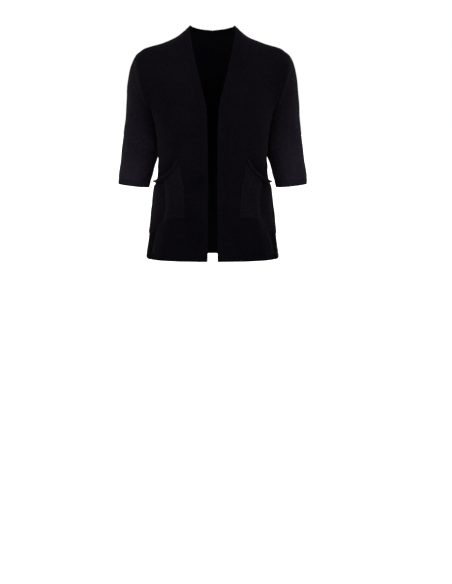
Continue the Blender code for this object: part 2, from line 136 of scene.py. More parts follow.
# The cloth's slow unevenness: waves by their height in millimetres, their turns for each metre
# and the angle that they start at.
Wave = namedtuple("Wave", "height x y z start")
WAVES = (
    Wave(0.45, 9.0, 3.0, 5.0, 0.4),
    Wave(0.35, -14.0, 7.0, 9.0, 2.1),
    Wave(0.30, 6.0, -11.0, 17.0, 4.0),
)

YARN_DARK_AND_STITCH_SHADE = (0.00068, 0.00055, 0.00092)      # the darker yarn, and painted shade between the stitches
YARN_LIGHT_AND_LOOP_HIGHLIGHT = (0.0037, 0.0030, 0.0050)        # the lighter yarn, and painted highlight on top of the loops
SPECULAR = 0.012
SHEEN = 0.012
SHEEN_ROUGHNESS = 0.3
SHEEN_TINT = (0.95, 0.82, 1.0)
# Noises: turns for each metre, detail, roughness, and how much they lighten the cloth.
Noise = namedtuple("Noise", "scale detail roughness tone")
STRAYING = Noise(55, 2, 0.5, 0)
YARN = Noise(240, 2, 0.5, 1.2)
MOTTLING = Noise(9, 3, 0.5, 0.6)
FUZZ = Noise(900, 3, 0.7, 0.5)
TONE_START = -1.02       # the tone that they are added to
LOOP_PAINTED_HIGHLIGHT = 0.6        # painted highlight and shade: how much lighter the top of a loop is than the hollow beside it
STRAY_REACH = 0.5        # how far the columns stray, as a share of a column
LOOP_SLANT = 1.3         # how many rows a loop's legs slant by, over a column's width
LOOP_DIP = 1.5           # how much lower a loop is towards its ends
ROUGHNESS = 0.82
FUZZ_ROUGHNESS = 0.15    # what the fuzz adds to it
Bump = namedtuple("Bump", "strength height")
STITCH_BUMP = Bump(0.6, 0.0006)
FUZZ_BUMP = Bump(0.5, 0.0003)
# The knits: stitch width and height in metres, and how light the cloth is at the start of its
# columns and at a reach further along them, as shares of the yarn's colour. This lightness is
# painted light and shade: the body, the band and the hem strip grow darker downwards as painted
# shade; a sleeve starts darker than the body, as painted shade beside the armhole, and is painted
# lightest by its end, as the cuffs are, for the side light on the arms; the pocket is painted
# lighter where it stands off the panel. Ribbing raises and lightens every second line between the
# columns and sinks and darkens the others, or the other way round where it is below 0; the
# lightening and darkening are painted highlight and shade.
Knit = namedtuple("Knit", "name slot wale course ribbing start end reach")
KNITS = {
    "body": Knit("knit_body", "knit", 0.0024, 0.0018, 0.12, 1.07, 0.58, 0.60),
    "sleeve": Knit("knit_sleeve", "knit", 0.0024, 0.0018, 0.12, 0.92, 3.20, 0.30),
    "pocket": Knit("knit_pocket", "knit", 0.0024, 0.0018, 0.12, 1.26, 1.02, 0.20),
    "hem": Knit("rib_hem", "rib", RIB_PITCH / 2, 0.0016, -0.35, 0.58, 0.55, 0.02),
    "band": Knit("rib_band", "rib", BAND_WIDTH / BAND_RIBS / 2, 0.0016, -0.35, 0.60, 0.98, 0.60),
    "cuff": Knit("rib_cuff", "rib", RIB_PITCH / 2, 0.0016, -0.30, 3.00, 2.80, 0.02),
}

FLOOR = -1.455           # the floor's height
FLOOR_REACH = 40
FLOOR_TONE = 0.95
FLOOR_GLOW = 0.3         # the floor is lit from below, as a light table is
SUN_SIZE = 40            # degrees: each light is a broad soft one
LAMP_DISTANCE = 3
Light = namedtuple("Light", "name azimuth height strength")
# Azimuths are degrees from the front, towards the wearer's left.
LIGHTS = (
    Light("front_left", 25, 5, 1.25),
    Light("front_right", -25, 5, 1.25),
    Light("side_left", 55, 35, 0.5),
    Light("side_right", -55, 35, 0.5),
    Light("top", 0, 80, 0.8),
    Light("rear_left", 105, 60, 0.32),
    Light("rear_right", -105, 60, 0.32),
)
LENS = 93.87             # millimetres, on the sensor's width
SENSOR_WIDTH = 36
LENS_SHIFT = 0.0229
CAMERA_DISTANCE = 4.2
CAMERA_HEIGHT = -0.17
CAMERA_TILT = 7.59       # degrees below level

# ---------------------------------------------------------------- tables of the form

Section = namedtuple("Section", "drop half_width front back")
BODY = (
    Section(0.243, 0.1635, 0.117, 0.098),
    Section(0.262, 0.1590, 0.119, 0.096),
    Section(0.283, 0.1555, 0.119, 0.093),
    Section(0.319, 0.1515, 0.117, 0.087),
    Section(0.350, 0.1490, 0.114, 0.083),
    Section(0.385, 0.1500, 0.111, 0.083),
    Section(0.420, 0.1538, 0.110, 0.087),
    Section(0.470, 0.1612, 0.112, 0.097),
    Section(0.545, 0.1724, 0.115, 0.106),
    Section(0.632, 0.1825, 0.118, 0.110),
)

NeckRow = namedtuple("NeckRow", "x y drop across")
NECK = (
    NeckRow(0.0000, 0.065, 0.0100, (0.00, 0.50, -0.87)),
    NeckRow(0.0320, 0.057, 0.0070, (0.30, 0.45, -0.82)),
    NeckRow(0.0540, 0.034, 0.0020, (0.58, 0.30, -0.75)),
    NeckRow(0.0610, 0.000, 0.0000, (0.73, 0.00, -0.68)),
    NeckRow(0.0605, -0.032, 0.0225, (0.90, -0.08, -0.30)),
    NeckRow(0.0530, -0.063, 0.0645, (0.97, 0.02, 0.05)),
    NeckRow(0.0427, -0.086, 0.1110, (0.97, 0.04, 0.18)),
    NeckRow(0.0290, -0.106, 0.1680, (0.97, 0.03, 0.20)),
    NeckRow(0.0172, -0.117, 0.2200, (0.99, 0.01, 0.10)),
)
SHOULDER_ROW = 3         # the row of NECK that lies on the shoulder seam

EdgeRow = namedtuple("EdgeRow", "drop x")
FRONT_EDGE = (
    EdgeRow(0.290, 0.0135),
    EdgeRow(0.380, 0.0129),
    EdgeRow(0.480, 0.0129),
    EdgeRow(0.632, 0.0140),
)

ShoulderRow = namedtuple("ShoulderRow", "x drop")
SHOULDER = (
    ShoulderRow(0.0734, 0.0116),
    ShoulderRow(0.0940, 0.0270),
    ShoulderRow(0.1110, 0.0357),
    ShoulderRow(0.1390, 0.0467),
    ShoulderRow(0.1690, 0.0560),
    ShoulderRow(0.1860, 0.0620),
    ShoulderRow(0.1970, 0.0690),
)

ArmRow = namedtuple("ArmRow", "along outer_x outer_drop inner_x inner_drop depth back bow")
ARM = (
    ArmRow(0.00, 0.1970, 0.0690, 0.1635, 0.2430, 0.058, 0.000, 0.008),
    ArmRow(0.08, 0.2100, 0.0795, 0.1655, 0.2478, 0.060, 0.008, 0.007),
    ArmRow(0.16, 0.2202, 0.0985, 0.1615, 0.2590, 0.060, 0.017, 0.005),
    ArmRow(0.27, 0.2290, 0.1300, 0.1570, 0.2800, 0.060, 0.022, 0.003),
    ArmRow(0.38, 0.2342, 0.1700, 0.1530, 0.3035, 0.059, 0.024, 0.001),
    ArmRow(0.50, 0.2380, 0.2220, 0.1490, 0.3270, 0.058, 0.025, 0.000),
    ArmRow(0.62, 0.2426, 0.2720, 0.1495, 0.3475, 0.056, 0.025, 0.000),
    ArmRow(0.74, 0.2483, 0.3180, 0.1585, 0.3760, 0.054, 0.024, 0.000),
    ArmRow(0.87, 0.2550, 0.3680, 0.1650, 0.4010, 0.052, 0.023, 0.000),
    ArmRow(1.00, 0.2610, 0.4130, 0.1720, 0.4215, 0.050, 0.022, 0.000),
    ArmRow(1.04, 0.2612, 0.4290, 0.1762, 0.4385, 0.050, 0.022, 0.000),
)
SLEEVE_END = 1.00        # where the cuff's seam lies along the arm
CUFF_END = 1.04

PocketRow = namedtuple("PocketRow", "across drop")
MOUTH = (
    PocketRow(0.317, 0.3560),
    PocketRow(0.354, 0.3690),
    PocketRow(0.402, 0.3830),
    PocketRow(0.462, 0.3950),
    PocketRow(0.552, 0.4060),
    PocketRow(0.695, 0.4160),
    PocketRow(0.814, 0.4195),
    PocketRow(1.000, 0.4210),
)
BOTTOM = (
    PocketRow(0.172, 0.5140),
    PocketRow(0.324, 0.5155),
    PocketRow(0.430, 0.5200),
    PocketRow(0.512, 0.5350),
    PocketRow(0.607, 0.5490),
    PocketRow(0.800, 0.5600),
    PocketRow(1.000, 0.5650),
)
InnerRow = namedtuple("InnerRow", "down across")
INNER_EDGE = (
    InnerRow(0.00, 0.317),
    InnerRow(0.28, 0.264),
    InnerRow(0.48, 0.218),
    InnerRow(0.72, 0.195),
    InnerRow(1.00, 0.172),
)

# ---------------------------------------------------------------- creases

# Soft ridges (height above 0) and troughs (below 0). The path's points are (across, drop) on a
# panel, or (angle, along) on a sleeve. Heights and widths are in millimetres.
Crease = namedtuple("Crease", "path height width start end")
FRONT_CREASES = (
    # The tension line from the pocket's upper corner towards the bust.
    Crease(((0.345, 0.372), (0.315, 0.35), (0.3, 0.318), (0.29, 0.27)), -2.6, 5, 1, 0.2),
    Crease(((0.29, 0.372), (0.265, 0.345), (0.25, 0.31), (0.245, 0.27)), 1.6, 8, 1, 0.2),
    # Above the mouth the panel is drawn in, towards the side seam.
    Crease(((0.38, 0.36), (0.48, 0.382), (0.65, 0.4), (0.95, 0.404)), -4.5, 8, 1, 0.7),
    Crease(((0.42, 0.335), (0.56, 0.36), (0.75, 0.376), (0.95, 0.378)), 2.4, 9, 0.7, 0.5),
    # The fold that runs from the pocket's bag to the bottom edge, and the troughs beside it.
    Crease(((0.33, 0.405), (0.355, 0.44), (0.37, 0.48), (0.392, 0.516), (0.435, 0.56),
            (0.455, 0.6), (0.46, 0.64)), 6, 14, 0.7, 0.4),
    Crease(((0.59, 0.425), (0.535, 0.448), (0.508, 0.48), (0.508, 0.51), (0.57, 0.532),
            (0.685, 0.56), (0.725, 0.6)), -12, 12, 0.8, 0.4),
    Crease(((0.72, 0.43), (0.675, 0.47), (0.67, 0.515), (0.74, 0.545)), 3.4, 10, 0.5, 0.4),
    Crease(((0.525, 0.548), (0.52, 0.59), (0.518, 0.64)), 1.4, 2.6, 0.3, 1),
    Crease(((0.35, 0.53), (0.365, 0.57), (0.37, 0.64)), -2.6, 12, 0.3, 1),
    Crease(((0.2, 0.47), (0.215, 0.54), (0.22, 0.64)), 2.2, 14, 0.1, 1),
    Crease(((0.085, 0.45), (0.1, 0.54), (0.1, 0.64)), -1.6, 12, 0.1, 1),
    Crease(((0.8, 0.44), (0.79, 0.54), (0.78, 0.64)), 3.4, 11, 0.6, 0.9),
    # Across the chest, from the armhole towards the bust.
    Crease(((0.985, 0.165), (0.9, 0.19), (0.8, 0.205), (0.64, 0.215)), -2, 9, 1, 0.2),
    Crease(((0.98, 0.215), (0.9, 0.232), (0.78, 0.24), (0.6, 0.244)), -2.2, 9, 1, 0.2),
    Crease(((0.98, 0.262), (0.9, 0.272), (0.78, 0.28), (0.64, 0.282)), -1.8, 8, 1, 0.2),
    Crease(((0.96, 0.305), (0.85, 0.318), (0.7, 0.322)), -1.6, 9, 0.8, 0.2),
    # From the shoulder down the chest.
    Crease(((0.6, 0.11), (0.56, 0.15), (0.52, 0.2), (0.5, 0.26)), 1.4, 16, 0.2, 0.6),
    Crease(((0.2, 0.09), (0.2, 0.14), (0.17, 0.21)), -1.1, 14, 0.4, 0.4),
)
# One half of the back, from its middle (-1) to the side seam (1). The other half has its twins.
BACK_CREASES = (
    # From the armhole towards the shoulder blade.
    Crease(((0.95, 0.175), (0.6, 0.205), (0.15, 0.225)), -3, 10, 1, 0.2),
    Crease(((0.95, 0.235), (0.65, 0.262), (0.25, 0.285)), -3.2, 10, 1, 0.2),
    # Across the small of the back, where the cloth sinks in.
    Crease(((0.95, 0.33), (0.5, 0.342), (-0.2, 0.336), (-0.7, 0.346)), -3.2, 11, 0.8, 0.3),
    Crease(((0.9, 0.372), (0.35, 0.384), (-0.45, 0.378)), -2.7, 10, 0.5, 0.5),
    Crease(((0.7, 0.408), (0.15, 0.414), (-0.5, 0.405)), 2.2, 11, 0.3, 0.4),
    # The flare below it hangs in long soft folds.
    Crease(((-0.86, 0.43), (-0.84, 0.53), (-0.85, 0.64)), -3, 16, 0.2, 0.9),
    Crease(((-0.45, 0.44), (-0.4, 0.53), (-0.39, 0.64)), 4.1, 15, 0.2, 1),
    Crease(((0.02, 0.425), (0.06, 0.52), (0.08, 0.64)), -4.3, 14, 0.2, 1),
    Crease(((0.48, 0.435), (0.5, 0.53), (0.53, 0.64)), 4.3, 14, 0.3, 1),
    Crease(((0.8, 0.46), (0.78, 0.55), (0.8, 0.64)), -3.2, 12, 0.2, 0.9),
    # From the shoulder down the blade.
    Crease(((0.6, 0.11), (0.45, 0.16), (0.35, 0.23)), 2, 16, 0.3, 0.6),
    Crease(((-0.55, 0.08), (-0.6, 0.14), (-0.65, 0.22)), -1.4, 16, 0.5, 0.3),
)
# On a sleeve the front is at angles above 0, the back below, and its inner line at both ends.
SLEEVE_CREASES = (
    # The cloth stands up again beside the hollow of the armhole.
    Crease(((1.9, 0.06), (2.3, 0.065), (2.7, 0.072), (3, 0.08)), 1.2, 9, 0.2, 1),
    # The front of the sleeve lies flat as far as the fold beside the body.
    Crease(((2.35, 0.14), (2.46, 0.23), (2.46, 0.35), (2.38, 0.56)), 6.5, 13, 0.7, 0.5),
    # Beside the hollow again, at the back.
    Crease(((-1.5, 0.06), (-2.1, 0.07), (-2.9, 0.08)), 1.6, 9, 0.3, 1),
    # Drag lines that run outwards from the underarm.
    Crease(((2.8, 0.11), (2.2, 0.165), (1.5, 0.245), (1, 0.3)), -2.4, 8, 1, 0.1),
    Crease(((2.7, 0.215), (2.1, 0.29), (1.4, 0.37)), -2, 8, 1, 0.1),
    Crease(((2.7, 0.38), (2.2, 0.45), (1.6, 0.5)), -1.5, 8, 0.9, 0.1),
    Crease(((-2.8, 0.12), (-2.2, 0.19), (-1.4, 0.28), (-0.8, 0.33)), -2.8, 9, 1, 0.1),
    Crease(((-2.7, 0.26), (-2, 0.35), (-1.2, 0.41)), -2.4, 9, 1, 0.1),
    # Across the bend of the elbow, and the lift beside it.
    Crease(((2.6, 0.62), (2, 0.665), (1.3, 0.69), (0.8, 0.68)), -2, 8, 1, 0.2),
    Crease(((2.5, 0.755), (1.9, 0.79), (1.2, 0.8)), -1.5, 8, 0.8, 0.2),
    Crease(((-2.5, 0.56), (-1.8, 0.62), (-1, 0.64)), -2, 9, 0.9, 0.2),
    Crease(((-2.4, 0.74), (-1.6, 0.78), (-0.9, 0.76)), -1.6, 9, 0.8, 0.3),
    # Long soft folds down to the cuff.
    Crease(((0.75, 0.22), (0.85, 0.52), (0.8, 0.98)), 1.4, 12, 0.3, 1),
    Crease(((1.6, 0.8), (1.5, 0.9), (1.45, 1.05)), -1.8, 10, 0.2, 1),
    Crease(((-0.7, 0.35), (-0.8, 0.6), (-0.7, 1.05)), 1.6, 12, 0.3, 1),
    Crease(((-1.6, 0.82), (-1.55, 0.92), (-1.5, 1.05)), -1.8, 10, 0.2, 1),
    Crease(((0, 0.3), (-0.05, 0.6), (0.05, 1.05)), -1, 12, 0.2, 1),
)

# Depth in millimetres of the hollow along the armhole seam, where the cloth turns in under the
# arm, and of the sharp fold at its bottom. down runs from the shoulder (0) to the underarm (1)
# and on down the side seam.
HollowRow = namedtuple("HollowRow", "down front back fold")
ARMHOLE_HOLLOW = (
    HollowRow(0.00, 0.0, 0.0, 0.0),
    HollowRow(0.30, 0.0, 0.2, 0.0),
    HollowRow(0.38, 0.1, 0.6, 0.1),
    HollowRow(0.44, 1.2, 1.2, 3.0),
    HollowRow(0.50, 2.2, 1.4, 5.0),
    HollowRow(0.62, 3.2, 2.4, 5.0),
    HollowRow(0.80, 3.8, 2.8, 5.0),
    HollowRow(0.92, 1.6, 1.6, 2.8),
    HollowRow(1.00, 0.3, 0.3, 0.4),
    HollowRow(1.12, 0.0, 0.0, 0.0),
    HollowRow(2.00, 0.0, 0.0, 0.0),
)

# Each piece as it is cut or knitted: its width and length in metres, and its area where it isn't
# a plain strip.
Cut = namedtuple("Cut", "width length area")

# ---------------------------------------------------------------- curves


def mix(start, end, share):
    return start * (1 - share) + end * share


def bend(start, end, leave, arrive, share):
    """A cubic from start to end that leaves and arrives with the given slopes."""
    square, cube = share ** 2, share ** 3
    ends = start * (2 * cube - 3 * square + 1) + end * (3 * square - 2 * cube)
    return ends + leave * (cube - 2 * square + share) + arrive * (cube - square)


def through(keys, values, at):
    """The smooth curve through values that stand at rising keys."""
    last = len(keys) - 1
    at = min(max(at, keys[0]), keys[last])
    index = max(i for i in range(last) if keys[i] <= at or i == 0)
    step = keys[index + 1] - keys[index]

    def slope(i):
        low, high = max(i - 1, 0), min(i + 1, last)
        return (values[high] - values[low]) * (step / (keys[high] - keys[low]))

    share = (at - keys[index]) / step
    return bend(values[index], values[index + 1], slope(index), slope(index + 1), share)


def column(table, key, name, at):
    """A table's column, read on a smooth curve through its rows."""
    keys = [getattr(row, key) for row in table]
    return through(keys, [getattr(row, name) for row in table], at)


# ---------------------------------------------------------------- the form, as on the solids


def body_point(turn, drop, face):
    """A point of the body. turn runs from 0 in the middle to a quarter circle at the side seam,
    and face is -1 on the front and +1 on the back."""
    reach = column(BODY, "drop", "front" if face < 0 else "back", drop)
    half_width = column(BODY, "drop", "half_width", drop)
    power = 2 / SQUARENESS
    return Vector((half_width * math.sin(turn) ** power,
                   face * reach * max(math.cos(turn), 0) ** power, -drop))


def turn_at(x, drop):
    """The turn at which the body reaches x."""
    share = min(x / column(BODY, "drop", "half_width", drop), 1)
    return math.asin(share ** (SQUARENESS / 2))


def body_side(y, drop):
    """The body's half width at a depth y."""
    reach = column(BODY, "drop", "front" if y < 0 else "back", drop)
    share = min(abs(y) / reach, 1)
    return column(BODY, "drop", "half_width", drop) * (1 - share ** SQUARENESS) ** (1 / SQUARENESS)


def front_edge(drop, width):
    """A point of the straight front edge, or of the seam at the band's width from it."""
    x = column(FRONT_EDGE, "drop", "x", drop) + width
    return body_point(turn_at(x, drop), drop, -1)


def neck_curves():
    """The neck's stations along the edge, the edge itself, and the seam beside it."""
    edge = [Vector((row.x, row.y, -row.drop)) for row in NECK]
    seam = [point + BAND_WIDTH * Vector(row.across).normalized() for point, row in zip(edge, NECK)]
    edge.append(front_edge(BUST_DROP, 0))
    seam.append(front_edge(BUST_DROP, BAND_WIDTH))
    along = [0.0]
    for before, after in zip(edge, edge[1:]):
        along.append(along[-1] + (after - before).length)
    return along, edge, seam


NECK_ALONG, NECK_EDGE, NECK_SEAM = neck_curves()
AT_SHOULDER = NECK_ALONG[SHOULDER_ROW]
AT_BUST = NECK_ALONG[-1]


def arm_point(along, angle):
    """A point of the sleeve. angle 0 is its outermost line, and it turns to the front first."""
    outer = Vector((column(ARM, "along", "outer_x", along), 0,
                    -column(ARM, "along", "outer_drop", along)))
    inner = Vector((column(ARM, "along", "inner_x", along), 0,
                    -column(ARM, "along", "inner_drop", along)))
    across = (outer - inner) / 2
    outwards = Vector((across.z, 0, -across.x)).normalized()
    point = (outer + inner) / 2 + across * math.cos(angle)
    point += outwards * column(ARM, "along", "bow", along) * math.sin(angle) ** 2
    point.y = column(ARM, "along", "back", along)
    point.y -= column(ARM, "along", "depth", along) * math.sin(angle)
    if -point.z > UNDERARM_DROP and along > 0:
        point.x = max(point.x, body_side(point.y, -point.z) + WALL + SLEEVE_AIR)
    return point


def shoulder_point(share):
    """A point of the shoulder seam, from the neck band to the sleeve."""
    x = mix(SHOULDER[0].x, SHOULDER[-1].x, share)
    point = Vector((x, 0, -column(SHOULDER, "x", "drop", x)))
    return mix(NECK_SEAM[SHOULDER_ROW], point, min(share * NECK_MERGE, 1))


def level(across, start_drop, share):
    """The drop of a row that starts level with the bust at the front edge or the middle of the
    back, and with the underarm at the side seam."""
    return mix(mix(start_drop, UNDERARM_DROP, across), LENGTH - HEM_HEIGHT, share)


def yoke(top, leave, bottom, arrive, across, down, face):
    """A point between the shoulder and the bust line, pulled onto the armhole near the side."""
    turned = Vector((0, -face * SHOULDER_ROUNDING, 0))
    arrive = mix(arrive, turned, across ** SIDE_REACH)
    point = bend(top, bottom, leave, arrive, down)
    corner_top, corner_bottom = arm_point(0, 0), arm_point(0, math.pi)
    plain = bend(corner_top, corner_bottom, -turned, turned, down)
    armhole = arm_point(0, -face * math.pi * down)
    return point + (armhole - plain) * across ** ARMHOLE_REACH


def front_point(across, down):
    """A point of the front panel. across runs from the band to the side, and down from the
    shoulder (0) past the bust line (1) to the hem strip (2)."""
    if down >= 1:
        drop = level(across, BUST_DROP, down - 1)
        edge = front_edge(drop, BAND_WIDTH)
        return body_point(mix(turn_at(edge.x, drop), math.pi / 2, across), drop, -1)
    leave_neck = Vector((0, -SHOULDER_ROUNDING, -SHOULDER_FALL))
    leave = mix(leave_neck, Vector((0, -SHOULDER_ROUNDING, 0)), across)
    arrive = Vector((0, 0, -CHEST_DROP))
    point = yoke(shoulder_point(across), leave, front_point(across, 1), arrive, across, down, -1)
    plain = bend(shoulder_point(0), front_point(0, 1), leave_neck, arrive, down)
    seam = through(NECK_ALONG, NECK_SEAM, mix(AT_SHOULDER, AT_BUST, down))
    return point + (seam - plain) * (1 - across) ** ARMHOLE_REACH


def back_top(across):
    """A point of the back's top edge, and the slope with which the cloth leaves it."""
    leave_neck = Vector((0, NAPE_ROUNDING, -SHOULDER_FALL))
    if across > 0:
        return shoulder_point(across), mix(leave_neck, Vector((0, SHOULDER_ROUNDING, 0)), across)
    top = through(NECK_ALONG, NECK_SEAM, AT_SHOULDER * (1 + across))
    return top, mix(Vector((0, NAPE_LEVEL, -NAPE_FALL)), leave_neck, (1 + across) ** 2)


def back_turn(across):
    """The turn of a place on the back's half, below the shoulder blades."""
    neck_turn = turn_at(NECK_SEAM[SHOULDER_ROW].x, BUST_DROP)
    return mix(neck_turn, math.pi / 2, across) if across > 0 else neck_turn * (1 + across)


def back_point(across, down):
    """A point of the back panel's half. across runs from the middle (-1) past the side of the
    neck (0) to the side seam (1), and down as on the front."""
    beside = max(across, 0)
    if down >= 1:
        return body_point(back_turn(across), level(beside, BUST_DROP, down - 1), 1)
    spread = CORNER_SPREAD * (1 - (1 - down) ** 3) * (1 - abs(across))
    nearby = [back_top(across + spread * step) for step in SPREAD_STEPS]
    top = sum((point for point, _ in nearby), Vector()) / len(nearby)
    leave = sum((slope for _, slope in nearby), Vector()) / len(nearby)
    arrive = Vector((0, 0, -BLADE_DROP))
    return yoke(top, leave, back_point(across, 1), arrive, beside, down, 1)


def pocket_place(share, down):
    """Where a point of the pocket lies on the panel, as its across and its drop. share runs from
    the pocket's inner edge to the side seam."""
    across = mix(column(INNER_EDGE, "down", "across", down), 1, share)
    drop = mix(column(MOUTH, "across", "drop", across), column(BOTTOM, "across", "drop", across), down)
    return across, drop


def panel_turn(across, drop):
    """The turn of a place on the front panel, below the bust."""
    return mix(turn_at(front_edge(drop, BAND_WIDTH).x, drop), math.pi / 2, across)


def outwards(turn, drop):
    """The horizontal way out of the front of the body."""
    before = body_point(turn - NEARBY_TURN, drop, -1)
    along = body_point(min(turn + NEARBY_TURN, math.pi / 2), drop, -1) - before
    return Vector((along.y, -along.x, 0)).normalized()


# ---------------------------------------------------------------- grids of points


def shares(count, crowding=1.0):
    return [1 - (1 - i / count) ** crowding for i in range(count + 1)]


def with_seams(values):
    """The same values, with more of them beside the first and the last, where seams are."""
    first, second, before, last = values[0], values[1], values[-2], values[-1]
    start = [first] + [mix(first, second, step) for step in SEAM_STEPS]
    end = [mix(before, last, 1 - step) for step in reversed(SEAM_STEPS)] + [last]
    return start + values[1:-1] + end


ACROSS = with_seams(shares(COLUMNS, COLUMN_CROWDING))
ARMHOLE_DOWN = with_seams(shares(UPPER_ROWS))
DOWN = ARMHOLE_DOWN + [1 + share for share in with_seams(shares(LOWER_ROWS))[1:]]


class Cloth:
    """A piece's grid: its points, its places on the panel that it belongs to, and its relief.

    places are (across, drop) on a panel, or (turn, along) on an arm. texture is in metres along
    the cloth. relief is the height of creases, ribs and seams, in metres along the normals. seams
    gives the sides that are sewn on, and whether their rims stand out (1) or sink in (-1), for the
    whole side or for each of its points. group is what the cloth counts as where cloths that meet
    share a normal, and is empty where it shares none."""

    def __init__(self, points, places, sign, closed=False):
        self.points = np.array([[tuple(point) for point in row] for row in points])
        self.places = np.array(places, dtype=float)
        self.sign = sign
        self.closed = closed
        self.relief = np.zeros(self.points.shape[:2])
        self.thickness = np.full(self.points.shape[:2], WALL)
        self.seams = {}
        self.group = "body"
        self.origin_column = 0

    def lengths(self, axis):
        """How far each point lies along its row (axis 1) or its column (axis 0)."""
        steps = np.linalg.norm(np.diff(self.points, axis=axis), axis=2)
        total = np.cumsum(steps, axis=axis)
        pad = [(1, 0), (0, 0)] if axis == 0 else [(0, 0), (1, 0)]
        return np.pad(total, pad)

    def texture(self):
        across = self.lengths(1)
        across = across - across[:, self.origin_column][:, None]
        return np.stack((across, -self.lengths(0)), axis=2)

    def normals(self):
        """Unit normals, from each point's neighbours in the grid."""
        points = self.points
        if self.closed:
            ring = np.concatenate((points[:, -2:-1], points, points[:, 1:2]), axis=1)
            along = ring[:, 2:] - ring[:, :-2]
        else:
            along = np.gradient(points, axis=1)
        down = np.gradient(points, axis=0)
        normal = np.cross(along, down) * self.sign
        return normal / np.maximum(np.linalg.norm(normal, axis=2), 1e-12)[..., None]

    def mirrored(self):
        twin = Cloth(self.points * (-1, 1, 1), self.places, -self.sign, self.closed)
        twin.relief, twin.thickness = self.relief.copy(), self.thickness.copy()
        twin.seams, twin.group = dict(self.seams), self.group
        twin.origin_column = self.origin_column
        return twin


def front_cloth():
    points = [[front_point(across, down) for across in ACROSS] for down in DOWN]
    places = [[(across, -point.z) for across, point in zip(ACROSS, row)] for row in points]
    cloth = Cloth(points, places, -1)
    at_side = [1 if down > 1 else -1 for down in DOWN]
    cloth.seams = {"top": 1, "bottom": -1, "start": -1, "end": at_side}
    return cloth


def back_cloth():
    columns = [share - 1 for share in shares(NECK_COLUMNS)] + ACROSS[1:]
    half = [[back_point(across, down) for across in columns] for down in DOWN]
    points = [[Vector((-p.x, p.y, p.z)) for p in reversed(row[1:])] + row for row in half]
    width = [-value - 2 for value in reversed(columns[1:])] + columns
    places = [[(across, -point.z) for across, point in zip(width, row)] for row in points]
    cloth = Cloth(points, places, 1)
    cloth.seams = {"top": -1, "bottom": -1, "start": -1, "end": -1}
    cloth.origin_column = len(columns) - 1
    return cloth


def hem_cloth(width, face, columns):
    """The strip below a panel. width gives its first and last across."""
    points, places = [], []
    top_drop = LENGTH - HEM_HEIGHT
    for share in shares(HEM_ROWS):
        points.append([])
        places.append([])
        for step in shares(columns):
            across = mix(*width, step)
            inner = abs(across + 1) - 1 if face > 0 else across
            turn = panel_turn(inner, top_drop) if face < 0 else back_turn(inner)
            rise = SIDE_RISE * (2 * turn / math.pi) ** RISE_REACH
            drop = mix(top_drop, LENGTH - rise, share)
            top, bottom = body_point(turn, top_drop, face), body_point(turn, LENGTH - rise, face)
            point = mix(top, bottom, share)
            if across < -1:
                point.x = -point.x
            points[-1].append(point)
            places[-1].append((across, drop))
    cloth = Cloth(points, places, -1 if face < 0 else 1)
    cloth.seams = {"top": 1, "start": -1, "end": 1 if face < 0 else -1}
    return cloth


def band_cloth(columns, step):
    """Rows up one front edge and round to the nape, where the band's halves are joined; columns
    from the free edge to the seam."""
    count = round((LENGTH - BUST_DROP) / step)
    drops = [mix(LENGTH, BUST_DROP, i / count) for i in range(count + 1)]
    edges = [front_edge(drop, 0) for drop in drops]
    seams = [front_edge(drop, BAND_WIDTH) for drop in drops]
    count = round(AT_BUST / step)
    alongs = [AT_BUST * (1 - i / count) for i in range(1, count + 1)]
    edges += [through(NECK_ALONG, NECK_EDGE, along) for along in alongs]
    seams += [through(NECK_ALONG, NECK_SEAM, along) for along in alongs]
    drops += [-point.z if along > AT_SHOULDER else 0 for along, point in zip(alongs, seams[-count:])]
    across = shares(columns)
    points = [[mix(edge, seam, share) for share in across] for edge, seam in zip(edges, seams)]
    cloth = Cloth(points, [[(0, drop)] * len(across) for drop in drops], 1)
    cloth.seams = {"end": 1, "bottom": 1}
    return cloth


def ring(downs):
    """The angles of a sleeve's points, from its inner line once round to the inner line."""
    angles = [math.pi * (down - 1) for down in downs]
    return angles + [-angle for angle in reversed(angles[:-1])]


def arm_cloth(start, end, rows, angles):
    """Closed rings of the sleeve."""
    alongs = [mix(start, end, share) for share in rows]
    points = [[arm_point(along, angle) for angle in angles] for along in alongs]
    places = [[(angle, along) for angle in angles] for along in alongs]
    cloth = Cloth(points, places, 1, closed=True)
    cloth.group = "arm"
    return cloth


def sewn_thickness(share, down):
    """The thickness of the pocket's cloth, which is pressed thin beside its sewn edges."""
    gap = min(share * POCKET_SIZE[0], (1 - share) * POCKET_SIZE[0], (1 - down) * POCKET_SIZE[1])
    return mix(SEWN_THICKNESS, WALL, float(fade(gap, SEWN_REACH)))


